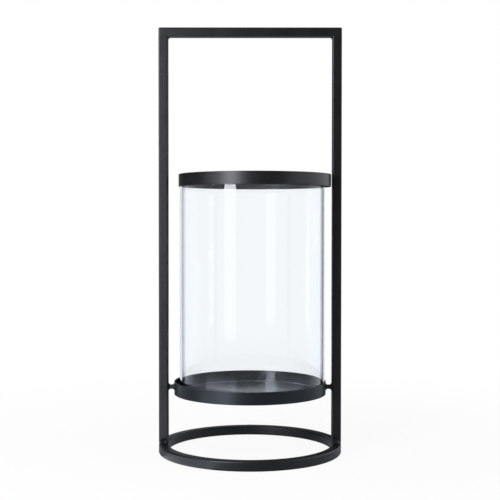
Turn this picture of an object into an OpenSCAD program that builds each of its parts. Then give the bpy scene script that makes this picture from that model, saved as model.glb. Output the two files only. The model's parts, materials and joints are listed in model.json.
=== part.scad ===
// Hurricane candle lantern: a welded square-tube frame carries a shallow dish
// on two short pins, a glass cylinder stands loose in the dish, and a loose
// metal ring rests on the rim of the glass. Millimetres, +Z up, origin on the
// floor in the middle of the base ring. The pins lie along X.

/* [Frame] */
// Overall height, from the floor to the top of the handle bar
frame_h = 470; // [430:5:560]
// Outside diameter of the base ring
base_d = 202.5; // [200:0.5:215]
// Side of the square tube, over its powder coat
tube = 10.5; // [9:0.5:11]
// Wall thickness of the square tube
tube_wall = 1; // [0.8:0.1:1.5]
// Radius of the tube's four long edges
tube_edge = 1.6; // [1:0.1:2]
// Radius of the ground outer corners of the handle
corner_r = 2; // [1:0.25:4]

/* [Dish] */
// Outside diameter of the dish
dish_d = 168.5; // [167:0.5:170]
// Height of the dish's lower edge above the floor
dish_z = 65.2; // [40:0.1:90]
// Width of the flat strip that makes the dish's wall and the top ring's wall
band_h = 13.7; // [10:0.1:20]
// Thickness of that strip
band_t = 1; // [0.8:0.1:1.5]
// Thickness of the dish's floor plate and of the top ring's flange
sheet_t = 0.8; // [0.6:0.1:1.2]
// How far that sheet stands inside the edge of its band
sheet_set = 0.7; // [0.5:0.1:1.2]
// Diameter of the two round pins that carry the dish
pin_d = 5; // [4:0.5:6]

/* [Glass] */
// Outside diameter of the glass cylinder
glass_d = 161; // [158:0.5:161.5]
// Wall thickness of the glass
glass_wall = 2; // [1.5:0.25:3]
// Height of the glass
glass_h = 240; // [180:5:250]
// How far off the middle the loose glass stands, along X
glass_shift = 2.4; // [0:0.1:3]

/* [Top ring] */
// Outside diameter of the loose top ring
ring_d = 169; // [167:0.5:172]
// How far off the middle the loose ring lies, along X
ring_shift = 5.2; // [0:0.1:6]
// Diameter of the opening in the ring's flange
mouth_d = 136; // [124:1:138]

/* [Welds] */
// Leg of the fillet beads at the feet of the uprights
foot_leg = 4.4; // [3:0.1:5]
// Leg of the round beads at the ends of the pins
pin_leg = 1.5; // [1:0.1:2]
// Width of the butt seams that close the rolled rings
seam_w = 2; // [1:0.1:3]
// Spacing of the ripples along a bead
ripple = 1.4; // [1:0.1:2]

/* [Hidden] */
$fn = 96;

black = "#242527";
weld_black = "#2c2d2f";
clear = [0.85, 0.93, 0.95, 0.35];

base_r = base_d / 2;
inner_x = base_r - tube;           // inner faces of the uprights
upright_x = base_r - tube / 2;     // middle of the uprights
bore_edge = 0.3;                   // radius inside the tube's edges
strip_edge = 0.3;                  // radius on the edges of the flat strip
rim_edge = 0.6;                    // radius on the polished rims of the glass
slack = 0.2;                       // least air beside a loose part
dish_r = dish_d / 2;
pin_z = dish_z + band_h / 2;
floor_z = dish_z + sheet_set + sheet_t;
glass_r = glass_d / 2;
glass_x = min(glass_shift, dish_r - band_t - glass_r - slack);
rim_z = floor_z + glass_h;         // top of the glass
ring_r = ring_d / 2;
ring_x = min(ring_shift, inner_x - ring_r - slack,
             glass_x + ring_r - band_t - glass_r - slack);
ring_z = rim_z + sheet_t + sheet_set - band_h;
seam_proud = 0.1;                  // how far a ground seam stands proud
mitre_seam = 0.8;                  // width of the seam in each mitre
corner_leg = 1.6;                  // fillet inside each handle corner
sheet_gap = 0.1;                   // play of a sheet inside its band
tack_len = 8;
tack_count = 4;
tack_passes = 3;                   // each pass shorter and thicker than the last
dish_tack_leg = 0.6;
ring_tack_leg = 0.8;
fuse = 0.5;                        // overlap of tools that cut a shape to seat

// Shapes that repeat

// A flat rectangle with rounded corners, centred
module rounded_rect(w, h, r) {
  square([w - 2 * r, h], center = true);
  square([w, h - 2 * r], center = true);
  for (x = [-1, 1], y = [-1, 1])
    translate([x * (w / 2 - r), y * (h / 2 - r)]) circle(r, $fn = 32);
}

// Section of the square tube, centred
module tube_section(grow = 0) {
  bore = tube - 2 * tube_wall;
  difference() {
    rounded_rect(tube + 2 * grow, tube + 2 * grow, tube_edge);
    rounded_rect(bore, bore, bore_edge);
  }
}

// A stretch of a revolved ring, swept to both sides of the +Y axis
module arc_sweep(angle) {
  rotate([0, 0, 90 - angle / 2]) rotate_extrude(angle = angle) children();
}

// The same ring with a gap of the seam's width left open at +Y
module open_ring(r) {
  rotate([0, 0, 180]) arc_sweep(360 - seam_angle(r)) children();
}

// Weld that fills that gap
module seam(r) {
  arc_sweep(seam_angle(r)) children();
}

function seam_angle(r) = 360 * seam_w / (2 * PI * r);

// Wall of the dish or of the top ring, standing on z = 0, and proud outside
// where it is the ground seam
module band_section(r, proud = 0) {
  translate([r + (proud - band_t) / 2, band_h / 2])
    rounded_rect(band_t + proud, band_h, strip_edge);
}

// Rippled bar with tapered ends, along X
function bead_r(r, t) = r * sqrt(1 - pow(abs(t), 4));

module bead_bar(len, r) {
  ripples = ceil(len / ripple);
  steps = 4 * ripples;
  crest = 0.05 * r;
  edge = [for (i = [1 : steps - 1])
    [bead_r(r, 2 * i / steps - 1) - crest * cos(360 * i * ripples / steps),
     len * (i / steps - 0.5)]];
  rotate([0, 90, 0]) rotate_extrude($fn = 48)
    polygon(concat([[0, -len / 2]], edge, [[0, len / 2]]));
}

// Fillet bead along X, in the corner where the wall y = 0 stands on the floor
// z = 0, on the wall's -Y side
module fillet_bead(len, leg) {
  sink = leg / 4;
  difference() {
    translate([0, sink, -sink]) bead_bar(len, leg + sink);
    translate([-len, 0, -2 * leg]) cube([2 * len, 2 * leg, 4 * leg]);
    translate([-len, -2 * leg, -2 * leg]) cube([2 * len, 4 * leg, 2 * leg]);
  }
}

// Round fillet bead about the X axis, in the corner between the plane x = 0
// and a pin of the given radius that leaves it towards +X
module pin_bead(r, below = 0) {
  sink = 0.4;
  rotate([0, 90, 0]) rotate_extrude($fn = 48) intersection() {
    translate([r - sink, -sink]) circle(pin_leg + sink, $fn = 32);
    translate([r, -below]) square([2 * pin_leg, 2 * pin_leg + below]);
  }
}

// The frame

// The handle and uprights seen from the front, with ground outer corners
module frame_outline() {
  translate([0, frame_h / 2])
    rounded_rect(2 * base_r, frame_h, corner_r);
}

// Mitred right-hand upright and bar, each cut on the plane of the mitre
module upright_blank() {
  intersection() {
    translate([upright_x, 0, tube]) linear_extrude(frame_h - tube) tube_section();
    rotate([90, 0, 0]) linear_extrude(2 * tube, center = true) intersection() {
      frame_outline();
      polygon([[inner_x - fuse, 0], [base_r + fuse, 0],
        [base_r + fuse, frame_h + fuse], [inner_x - fuse, frame_h - tube - fuse]]);
    }
  }
}

module bar_blank() {
  intersection() {
    translate([0, 0, frame_h - tube / 2]) rotate([0, 90, 0])
      linear_extrude(2 * base_r, center = true) tube_section();
    rotate([90, 0, 0]) linear_extrude(2 * tube, center = true) intersection() {
      frame_outline();
      polygon([[-inner_x + fuse, frame_h - tube - fuse],
        [inner_x - fuse, frame_h - tube - fuse],
        [base_r + fuse, frame_h + fuse], [-base_r - fuse, frame_h + fuse]]);
    }
  }
}

// Slab that the weld fills in the right-hand mitre
module mitre_slab() {
  translate([upright_x, 0, frame_h - tube / 2]) rotate([0, 45, 0])
    cube([mitre_seam, 2 * tube, 3 * tube], center = true);
}

module upright() {
  color(black) difference() {
    upright_blank();
    mitre_slab();
  }
}

module corner_weld() {
  color(weld_black) {
    intersection() {
      upright_blank();
      mitre_slab();
    }
    intersection() {
      bar_blank();
      mitre_slab();
    }
    translate([inner_x, 0, frame_h - tube]) rotate([90, 0, 0])
      linear_extrude(tube - 2 * tube_edge, center = true)
        polygon([[0, 0], [-corner_leg, 0], [0, -corner_leg]]);
  }
}

// Front and back beads where the right-hand upright stands on the ring
module foot_weld() {
  color(weld_black) for (turn = [0, 180])
    translate([upright_x, 0, tube]) rotate([0, 0, turn])
      translate([0, -tube / 2, 0]) fillet_bead(tube - 1.5 * tube_edge, foot_leg);
}

module base_ring() {
  color(black) open_ring(upright_x) translate([upright_x, tube / 2]) tube_section();
}

module base_seam_weld() {
  color(weld_black) seam(upright_x)
    translate([upright_x, tube / 2 + seam_proud]) tube_section(seam_proud);
}

module left_upright() { mirror([1, 0, 0]) upright(); }
module right_upright() { upright(); }

module top_bar() {
  color(black) difference() {
    bar_blank();
    mitre_slab();
    mirror([1, 0, 0]) mitre_slab();
  }
}

module left_corner_weld() { mirror([1, 0, 0]) corner_weld(); }
module right_corner_weld() { corner_weld(); }
module left_foot_weld() { mirror([1, 0, 0]) foot_weld(); }
module right_foot_weld() { foot_weld(); }

// The dish and its pins

// Cuts a pin or bead to the round wall of the dish
module seat_on_dish() {
  difference() {
    children();
    translate([0, 0, dish_z - band_h]) cylinder(h = 3 * band_h, r = dish_r, $fn = 720);
  }
}

module pin() {
  color(black) seat_on_dish()
    translate([dish_r - fuse, 0, pin_z]) rotate([0, 90, 0])
      cylinder(h = inner_x - dish_r + fuse, d = pin_d);
}

module pin_frame_weld() {
  color(weld_black) translate([inner_x, 0, pin_z]) mirror([1, 0, 0])
    pin_bead(pin_d / 2);
}

module pin_dish_weld() {
  color(weld_black) seat_on_dish()
    translate([dish_r, 0, pin_z]) pin_bead(pin_d / 2, fuse);
}

module left_pin() { mirror([1, 0, 0]) pin(); }
module right_pin() { pin(); }
module left_pin_frame_weld() { mirror([1, 0, 0]) pin_frame_weld(); }
module right_pin_frame_weld() { pin_frame_weld(); }
module left_pin_dish_weld() { mirror([1, 0, 0]) pin_dish_weld(); }
module right_pin_dish_weld() { pin_dish_weld(); }

module dish_band() {
  color(black) translate([0, 0, dish_z]) open_ring(dish_r) band_section(dish_r);
}

module dish_seam_weld() {
  color(weld_black) translate([0, 0, dish_z])
    seam(dish_r) band_section(dish_r, seam_proud);
}

module dish_plate() {
  color(black) translate([0, 0, dish_z + sheet_set])
    cylinder(h = sheet_t, r = dish_r - band_t - sheet_gap);
}

// Section of a fillet bead in the corner below a sheet at z = 0 and inside a
// band of inner radius r
module tack_section(r, leg) {
  sink = leg / 4;
  intersection() {
    translate([r + sink, sink]) circle(leg + sink, $fn = 32);
    translate([r - leg, -leg]) square(leg);
  }
}

// The short beads that hold a sheet in its band
module tack_ring(r, leg) {
  color(weld_black) for (i = [0 : tack_count - 1])
    rotate([0, 0, (i + 0.5) * 360 / tack_count]) for (pass = [1 : tack_passes])
      arc_sweep(360 * tack_len * (1 - pass / (2 * tack_passes)) / (2 * PI * r))
        tack_section(r, leg * (1 + pass / tack_passes) / 2);
}

module dish_tack_welds() {
  translate([0, 0, dish_z + sheet_set]) tack_ring(dish_r - band_t, dish_tack_leg);
}

// The glass

module glass_cylinder() {
  color(clear) translate([glass_x, 0, floor_z]) rotate_extrude()
    translate([glass_r - glass_wall / 2, glass_h / 2])
      rounded_rect(glass_wall, glass_h, rim_edge);
}

// The loose top ring

module ring_band() {
  color(black) translate([ring_x, 0, ring_z])
    open_ring(ring_r) band_section(ring_r);
}

module ring_seam_weld() {
  color(weld_black) translate([ring_x, 0, ring_z])
    seam(ring_r) band_section(ring_r, seam_proud);
}

module ring_flange() {
  color(black) translate([ring_x, 0, rim_z]) difference() {
    cylinder(h = sheet_t, r = ring_r - band_t - sheet_gap);
    translate([0, 0, -fuse]) cylinder(h = sheet_t + 2 * fuse, d = mouth_d);
  }
}

module ring_tack_welds() {
  translate([ring_x, 0, rim_z]) tack_ring(ring_r - band_t, ring_tack_leg);
}

base_ring();
base_seam_weld();
left_upright();
right_upright();
top_bar();
left_corner_weld();
right_corner_weld();
left_foot_weld();
right_foot_weld();
left_pin();
right_pin();
left_pin_frame_weld();
right_pin_frame_weld();
left_pin_dish_weld();
right_pin_dish_weld();
dish_band();
dish_seam_weld();
dish_plate();
dish_tack_welds();
glass_cylinder();
ring_band();
ring_seam_weld();
ring_flange();
ring_tack_welds();
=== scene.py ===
import json
import math
import bmesh
import bpy
from mathutils import Matrix, Vector

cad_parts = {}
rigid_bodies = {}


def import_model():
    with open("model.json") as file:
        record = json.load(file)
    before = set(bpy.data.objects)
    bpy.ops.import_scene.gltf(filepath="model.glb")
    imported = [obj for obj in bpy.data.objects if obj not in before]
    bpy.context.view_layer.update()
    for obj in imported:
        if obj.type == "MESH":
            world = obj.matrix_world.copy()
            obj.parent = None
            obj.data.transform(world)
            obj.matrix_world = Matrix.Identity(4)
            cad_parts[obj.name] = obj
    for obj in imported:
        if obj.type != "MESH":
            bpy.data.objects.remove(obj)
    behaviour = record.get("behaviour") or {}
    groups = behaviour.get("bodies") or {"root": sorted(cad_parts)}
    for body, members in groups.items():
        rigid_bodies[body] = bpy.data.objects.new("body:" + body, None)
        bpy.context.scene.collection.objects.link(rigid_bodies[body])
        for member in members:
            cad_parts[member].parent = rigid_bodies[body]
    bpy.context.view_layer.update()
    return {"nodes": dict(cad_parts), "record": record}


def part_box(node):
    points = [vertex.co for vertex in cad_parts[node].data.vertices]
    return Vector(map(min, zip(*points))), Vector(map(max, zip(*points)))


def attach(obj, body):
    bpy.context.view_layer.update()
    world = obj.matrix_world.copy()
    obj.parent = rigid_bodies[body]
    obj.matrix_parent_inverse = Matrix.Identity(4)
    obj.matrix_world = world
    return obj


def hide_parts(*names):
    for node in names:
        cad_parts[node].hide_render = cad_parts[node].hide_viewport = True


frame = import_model()
print("frame loaded:", len(frame["nodes"]), "nodes")


class Wire:
    # wraps one socket, so that sums on it read as plain Python and add their Math nodes
    def __init__(self, tree, socket=None):
        self.tree = tree
        self.socket = socket

    # any node: its settings are set first, then the values or links of its sockets
    def make(self, kind, settings=None, sockets=None, out=0):
        node = self.tree.nodes.new(kind)
        for name, value in (settings or {}).items():
            setattr(node, name, value)
        for name, value in (sockets or {}).items():
            if isinstance(value, Wire):
                self.tree.links.new(value.socket, node.inputs[name])
            else:
                node.inputs[name].default_value = value
        return Wire(self.tree, node.outputs[out]) if node.outputs else None

    def maths(self, operation, first, second):
        return self.make("ShaderNodeMath", {"operation": operation}, {0: first, 1: second})

    def __add__(self, other):
        return self.maths("ADD", self, other)

    def __radd__(self, other):
        return self.maths("ADD", other, self)

    def __sub__(self, other):
        return self.maths("SUBTRACT", self, other)

    def __rsub__(self, other):
        return self.maths("SUBTRACT", other, self)

    def __mul__(self, other):
        return self.maths("MULTIPLY", self, other)

    # 0 below low, 1 above high, smooth between
    def rise(self, low, high):
        return self.make("ShaderNodeMapRange", {"interpolation_type": "SMOOTHSTEP"},
                         {0: self, 1: low, 2: high})


def newMaterial(name):
    material = bpy.data.materials.new(name)
    material.use_nodes = True
    material.node_tree.nodes.clear()
    return material, Wire(material.node_tree)


# a finished bmesh becomes an object with one material
def placedMesh(name, form, material):
    mesh = bpy.data.meshes.new(name)
    form.to_mesh(mesh)
    form.free()
    mesh.materials.append(material)
    piece = bpy.data.objects.new(name, mesh)
    bpy.context.collection.objects.link(piece)
    return piece


def mixColours(start, share, low, high):
    return start.make("ShaderNodeMix", {"data_type": "RGBA"}, {0: share, 6: low, 7: high}, out=2)


def noise(start, place, scale, detail):
    return start.make("ShaderNodeTexNoise", None,
                      {"Vector": place, "Scale": scale, "Detail": detail})


def bumpOf(start, height):
    return start.make("ShaderNodeBump", None, {"Strength": 1.0, "Distance": 1.0, "Height": height})


def coordinate(start, place, axis):
    return start.make("ShaderNodeSeparateXYZ", None, {0: place}, out=axis)


# satin black powder coat; depths are in metres, scales in noise cells per metre
frameCoat = {
    "deep": (0.0030, 0.0033, 0.0034, 1), "pale": (0.0050, 0.0054, 0.0056, 1),
    "cloudScale": 45, "cloudFrom": 0.3, "cloudFull": 0.7,  # slow drift from deep to pale
    "rough": 0.37, "roughSpread": 0.08, "speckScale": 900,
    "gloss": (1, 1, 1, 1), "glossLevel": 0.5,
    "peelScale": 700, "peelDepth": 0.00003,  # the coat's orange peel
    "grainScale": 3800, "grainDepth": 0.000006,
}
sheetCoat = dict(frameCoat, rough=0.36, peelScale=620)
dishCoat = dict(sheetCoat, deep=(0.0028, 0.0036, 0.0044, 1), pale=(0.0044, 0.0058, 0.0070, 1),
                gloss=(0.84, 0.94, 1, 1))
# the plate coat is a paler copy of the dish coat; that lift in its colour is painted light
plateCoatWithPaintedLight = dict(dishCoat, deep=(0.034, 0.040, 0.046, 1), pale=(0.047, 0.055, 0.063, 1),
                 rough=0.25, roughSpread=0.05, glossLevel=0.58, peelScale=520, peelDepth=0.00002)
weldCoat = dict(frameCoat, rough=0.42, peelScale=1100, peelDepth=0.00005)


def blackCoat(name, look):
    material, start = newMaterial(name)
    place = start.make("ShaderNodeTexCoord", out="Object")
    cloud = noise(start, place, look["cloudScale"], 3.0)
    speck = noise(start, place, look["speckScale"], 1.0)
    peel = noise(start, place, look["peelScale"], 2.0)
    grain = noise(start, place, look["grainScale"], 1.0)
    share = cloud.rise(look["cloudFrom"], look["cloudFull"])
    colour = mixColours(start, share, look["deep"], look["pale"])
    rough = look["rough"] + (cloud + speck - 1) * look["roughSpread"]
    height = peel * look["peelDepth"] + grain * look["grainDepth"]
    shader = start.make("ShaderNodeBsdfPrincipled", None, {
        "Base Color": colour, "Roughness": rough, "Normal": bumpOf(start, height),
        "Specular Tint": look["gloss"], "Specular IOR Level": look["glossLevel"]})
    start.make("ShaderNodeOutputMaterial", None, {"Surface": shader})
    return material


coats = {
    "black_frame": blackCoat("frameCoat", frameCoat),
    "black_sheet": blackCoat("sheetCoat", sheetCoat),
    "black_weld": blackCoat("weldCoat", weldCoat),
    "dish_band": blackCoat("dishCoat", dishCoat),
    "dish_plate": blackCoat("plateCoatWithPaintedLight", plateCoatWithPaintedLight),
}
# a node takes the coat of its own name, or else that of its slot
for part in frame["record"]["subparts"]:
    coat = coats.get(part["node"], coats.get(part["material_slot"]))
    node = frame["nodes"][part["node"]]
    for piece in [node] + list(node.children_recursive):
        if piece.type == "MESH" and coat:
            piece.data.materials.clear()
            piece.data.materials.append(coat)
print("coats set:", len(coats))


glassLook = {
    "wall": 0.002, "rimRadius": 0.0006, "rimSteps": 6, "around": 384,
    "tint": (0.974, 0.991, 1, 1), "ior": 1.44,
    # a pale rough band at each rim is a painted highlight, standing in for the light that the wall carries
    # to its fire-polished edges
    "rimHighlightColour": (0.62, 0.69, 0.72, 1), "rimRough": 0.35, "rimDepth": 0.0009, "rimShare": 0.75,
    # long shallow waves along the draw of the tube
    "waveScale": 40, "waveStretch": (1, 1, 0.06), "waveDepth": 0.00001,
}


# turns a closed section round the upright line through middle; each point of the section
# brings its own normal, so that the tall plain faces stay true beside the small round ones
def turnedMesh(name, section, around, middle, material):
    form = bmesh.new()
    rings, normals = [], []
    for step in range(around):
        turn = 2 * math.pi * step / around
        away = Vector((math.cos(turn), math.sin(turn), 0))
        rings.append([form.verts.new(Vector((middle.x, middle.y, height)) + away * radius)
                      for radius, height, tilt in section])
        normals += [away * math.cos(tilt) + Vector((0, 0, math.sin(tilt)))
                    for radius, height, tilt in section]
    for step in range(around):
        here, following = rings[step], rings[(step + 1) % around]
        for k in range(len(section)):
            after = (k + 1) % len(section)
            form.faces.new((here[k], following[k], following[after], here[after])).smooth = True
    piece = placedMesh(name, form, material)
    piece.data.normals_split_custom_set_from_vertices(normals)
    return piece


# section of an upright wall with round rims, as radius, height and tilt of the normal
def roundedWall(inner, outer, low, high, edge, steps):
    corners = [(outer - edge, high - edge), (inner + edge, high - edge),
               (inner + edge, low + edge), (outer - edge, low + edge)]
    section = []
    for quarter, (radius, height) in enumerate(corners):
        for k in range(steps + 1):
            tilt = math.radians(90 * (quarter + k / steps))
            section.append((radius + edge * math.cos(tilt), height + edge * math.sin(tilt), tilt))
    return section


def clearGlass(name, look, low, high):
    material, start = newMaterial(name)
    place = start.make("ShaderNodeTexCoord", out="Object")
    height = coordinate(start, place, "Z")
    rim = height.rise(high - look["rimDepth"], high) + 1 - height.rise(low, low + look["rimDepth"])
    drawn = start.make("ShaderNodeVectorMath", {"operation": "MULTIPLY"},
                       {0: place, 1: look["waveStretch"]})
    bump = bumpOf(start, noise(start, drawn, look["waveScale"], 1.0) * look["waveDepth"])
    clear = start.make("ShaderNodeBsdfPrincipled", None, {
        "Base Color": look["tint"], "Roughness": 0.0, "Normal": bump,
        "IOR": look["ior"], "Transmission Weight": 1.0})
    # the pale rough band at the rims is a painted highlight
    paintedRimHighlight = start.make("ShaderNodeBsdfPrincipled", None, {
        "Base Color": look["rimHighlightColour"], "Roughness": look["rimRough"], "Normal": bump})
    shader = start.make("ShaderNodeMixShader", None,
                        {0: rim * look["rimShare"], 1: clear, 2: paintedRimHighlight})
    start.make("ShaderNodeOutputMaterial", None, {"Surface": shader})
    return material


def glassWall():
    low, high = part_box("glass_cylinder")
    middle = (low + high) / 2
    outer = (high.x - low.x) / 2
    look = glassLook
    section = roundedWall(outer - look["wall"], outer, low.z, high.z,
                          look["rimRadius"], look["rimSteps"])
    piece = turnedMesh("glassWall", section, look["around"], middle,
                       clearGlass("clearGlass", look, low.z, high.z))
    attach(piece, "glass")
    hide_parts("glass_cylinder")


glassWall()
print("glass made")


def rays(start, kind):
    return start.make("ShaderNodeLightPath", out=kind)


# 1 for what the camera sees, also straight through the glass
def directView(start):
    turns = rays(start, "Glossy Depth") + rays(start, "Diffuse Depth")
    straight = start.maths("LESS_THAN", turns, 0.5)
    return rays(start, "Is Camera Ray") + rays(start, "Is Transmission Ray") * straight


# 1 for what the smooth glass mirrors, from outside, inside its wall or across it
def glassMirror(start, mostTurns, mostPasses):
    turns = rays(start, "Glossy Depth")
    once = start.maths("GREATER_THAN", turns, 0.5) * start.maths("LESS_THAN", turns, mostTurns + 0.5)
    near = start.maths("LESS_THAN", rays(start, "Transmission Depth"), mostPasses + 0.5)
    return rays(start, "Is Singular Ray") * once * near


# cosine of the angle between two bearings
def facing(start, bearing, toward):
    return start.make("ShaderNodeVectorMath", {"operation": "DOT_PRODUCT"},
                      {0: bearing, 1: toward}, out="Value")


# the room as the glass mirrors it, by how far a spot lies behind the lantern; turns count
# reflections on a ray's way, and passes the faces of glass that it went through
mirroredRoom = {"front": 0.62, "back": 0.9, "from": -0.1, "full": 0.4,
                "mostTurns": 3, "mostPasses": 6}


def roomLevel(depth, front):
    behind = depth.rise(mirroredRoom["from"], mirroredRoom["full"])
    return behind * mirroredRoom["back"] + (1 - behind) * front


white = (1, 1, 1, 1)
# white to the camera and in the glass; distances are in metres from the lantern's middle
floorLook = {
    "half": 6.0, "colour": (0.95, 0.95, 0.95, 1),
    "glowNear": 0.92, "glowFrom": 0.15, "glowFull": 0.7,  # less glow near by keeps the shadow
    # in reflections the floor in front of the lantern is dimmer than behind it: painted shade
    "mirrorTint": (0.92, 0.98, 1.10, 1), "mirrorFront": 0.38,
    "mirrorBack": 1.1, "backFrom": 0.2, "backFull": 0.6,
    "mirrorFar": 0.2, "farFrom": 1.0, "farFull": 1.6,
    # closer than about a metre the floor in front is dimmer still in the glass: painted shade
    "frontNear": 0.36, "frontFrom": 0.75, "frontFull": 1.2,  # the floor in front, in the glass
    # two bright wedges of floor, front left and front right, are painted pools of light from the softbox;
    # the right one is only in the glass
    "patchFrom": 0.89, "patchFull": 0.93, "patchEdge": 0.56, "patchEnd": 0.76,
    "leftLightPool": (-0.743, -0.669, 0), "leftGlow": 1.3,
    "rightLightPool": (0.829, -0.559, 0), "rightGlow": 0.5,
}


def studioFloor():
    look = floorLook
    material, start = newMaterial("studioFloor")
    seen = directView(start)
    mirrored = rays(start, "Is Glossy Ray") * (1 - seen)
    spot = start.make("ShaderNodeTexCoord", out="Object")
    away = start.make("ShaderNodeVectorMath", {"operation": "LENGTH"}, {0: spot}, out="Value")
    glowShare = look["glowNear"] + away.rise(look["glowFrom"], look["glowFull"]) * (1 - look["glowNear"])
    behind = coordinate(start, spot, "Y")
    level = (look["mirrorFront"]
             + behind.rise(look["backFrom"], look["backFull"]) * (look["mirrorBack"] - look["mirrorFront"])
             - behind.rise(look["farFrom"], look["farFull"]) * (look["mirrorBack"] - look["mirrorFar"]))
    bearing = start.make("ShaderNodeVectorMath", {"operation": "NORMALIZE"}, {0: spot})
    # painted pools of light on the floor, seen only in reflections
    left = facing(start, bearing, look["leftLightPool"]).rise(look["patchFrom"], look["patchFull"])
    right = facing(start, bearing, look["rightLightPool"]).rise(look["patchFrom"], look["patchFull"])
    close = 1 - away.rise(look["patchEdge"], look["patchEnd"])
    front = away.rise(look["frontFrom"], look["frontFull"]) * (mirroredRoom["front"] - look["frontNear"])
    sharp = glassMirror(start, mirroredRoom["mostTurns"], mirroredRoom["mostPasses"])
    level = level * (1 - sharp) + roomLevel(behind, front + look["frontNear"]) * sharp
    level = level + close * (left * look["leftGlow"] + right * sharp * look["rightGlow"])
    tone = mixColours(start, mirrored, white, look["mirrorTint"])
    matte = start.make("ShaderNodeBsdfDiffuse", None, {"Color": look["colour"]})
    glow = start.make("ShaderNodeEmission", None,
                      {"Color": tone, "Strength": 1 - mirrored * (1 - level)})
    mixed = start.make("ShaderNodeMixShader", None,
                       {0: (seen + mirrored) * glowShare, 1: matte, 2: glow})
    start.make("ShaderNodeOutputMaterial", None, {"Surface": mixed})
    form = bmesh.new()
    bmesh.ops.create_grid(form, x_segments=1, y_segments=1, size=look["half"])
    placedMesh("floor", form, material)


# bright panels round the lantern, each at a bearing, that fade out towards the ceiling
worldLook = {
    "panels": [
        {"toward": (0.993, 0.122, 0), "from": 0.50, "full": 0.80, "glow": 1.25},
        {"toward": (-0.766, -0.643, 0), "from": 0.84, "full": 0.97, "glow": 1.90},
        {"toward": (-0.259, 0.966, 0), "from": 0.94, "full": 0.985, "glow": 0.35},
    ],
    "tint": (0.94, 0.985, 1.06, 1), "ceilingFrom": 0.5, "ceilingFull": 0.7, "ceiling": 0.45,
}


def studioWorld():
    look = worldLook
    world = bpy.data.worlds.new("studio")
    bpy.context.scene.world = world
    world.use_nodes = True
    world.node_tree.nodes.clear()
    start = Wire(world.node_tree)
    direction = start.make("ShaderNodeTexCoord", out="Generated")
    level = start.make("ShaderNodeVectorMath", {"operation": "MULTIPLY"}, {0: direction, 1: (1, 1, 0)})
    level = start.make("ShaderNodeVectorMath", {"operation": "NORMALIZE"}, {0: level})
    upward = coordinate(start, direction, "Z").rise(look["ceilingFrom"], look["ceilingFull"])
    lit = 0
    for panel in look["panels"]:
        share = facing(start, level, panel["toward"]).rise(panel["from"], panel["full"])
        lit = share * panel["glow"] + lit
    lit = lit * (1 - upward) + upward * look["ceiling"]
    seen = directView(start)
    sharp = glassMirror(start, mirroredRoom["mostTurns"], mirroredRoom["mostPasses"])
    backdrop = roomLevel(coordinate(start, level, "Y"), mirroredRoom["front"])
    lit = lit * (1 - sharp) + backdrop * sharp
    tone = mixColours(start, seen, look["tint"], white)
    shader = start.make("ShaderNodeBackground", None,
                        {"Color": tone, "Strength": lit * (1 - seen) + seen})
    start.make("ShaderNodeOutputWorld", None, {"Surface": shader})


# a tall strip softbox; it is a mesh, because a lamp can't tell the glass's mirror from the rest
keyLook = {
    "bearing": 33.0, "distance": 0.76, "width": 0.24, "low": 0.03, "high": 1.0, "fade": 0.03,
    "colour": (0.97, 0.985, 1.08, 1), "radiance": 8.8,
    "morePastGlass": 0.2, "pastPasses": 3.5,  # on the dish, whose light came through the glass
    # its level in the glass, and a brighter crown in the near wall, under the top ring
    "inGlass": 1.5, "lowInGlass": 0.045, "mostTurns": 1,
    "crown": 0.309, "crownFade": 0.004, "crownInGlass": 12, "crownPasses": 2.5,
}


def keyLight():
    look = keyLook
    material, start = newMaterial("keySoftbox")
    height = coordinate(start, start.make("ShaderNodeNewGeometry", out="Position"), "Z")
    passes = rays(start, "Transmission Depth")
    past = start.maths("GREATER_THAN", passes, look["pastPasses"])
    plain = height.rise(look["low"], look["low"] + look["fade"]) * look["radiance"]
    plain = plain * (1 + past * look["morePastGlass"])
    soft = height.rise(look["lowInGlass"], look["lowInGlass"] + look["fade"])
    soft = soft * (look["inGlass"] - mirroredRoom["front"]) + mirroredRoom["front"]
    crown = height.rise(look["crown"], look["crown"] + look["crownFade"])
    crown = crown * start.maths("LESS_THAN", passes, look["crownPasses"])
    soft = soft + crown * (look["crownInGlass"] - look["inGlass"])
    sharp = glassMirror(start, look["mostTurns"], mirroredRoom["mostPasses"])
    seen = directView(start)
    glow = start.make("ShaderNodeEmission", None, {
        "Color": look["colour"],
        "Strength": plain * (1 - sharp) * (1 - seen) + soft * sharp + seen})
    start.make("ShaderNodeOutputMaterial", None, {"Surface": glow})
    bearing = math.radians(look["bearing"])
    place = Vector((-math.sin(bearing), -math.cos(bearing), 0)) * look["distance"]
    place.z = look["low"]
    across = Vector((math.cos(bearing), -math.sin(bearing), 0)) * (look["width"] / 2)
    upward = Vector((0, 0, look["high"] - look["low"]))
    form = bmesh.new()
    corners = [place - across, place + across, place + across + upward, place - across + upward]
    form.faces.new([form.verts.new(corner) for corner in corners])
    softbox = placedMesh("keySoftbox", form, material)
    softbox.visible_camera = False


# metres, radians and millimetres
cameraLook = {
    "eye": (0.0, -1.1711, 0.2519), "down": 0.02347, "roll": 0.0006,
    "lens": 75.87, "sensor": 36, "shift": -0.0002,
}


def mainCamera():
    lens = bpy.data.cameras.new("camera")
    lens.lens = cameraLook["lens"]
    lens.sensor_width = cameraLook["sensor"]
    lens.shift_x = cameraLook["shift"]
    lens.dof.use_dof = False
    camera = bpy.data.objects.new("camera", lens)
    bpy.context.collection.objects.link(camera)
    camera.matrix_world = (Matrix.Translation(cameraLook["eye"])
                           @ Matrix.Rotation(math.radians(90) - cameraLook["down"], 4, "X")
                           @ Matrix.Rotation(cameraLook["roll"], 4, "Z"))
    bpy.context.scene.camera = camera


studioFloor()
studioWorld()
keyLight()
mainCamera()
bpy.context.scene.view_settings.view_transform = "Standard"
print("studio ready")
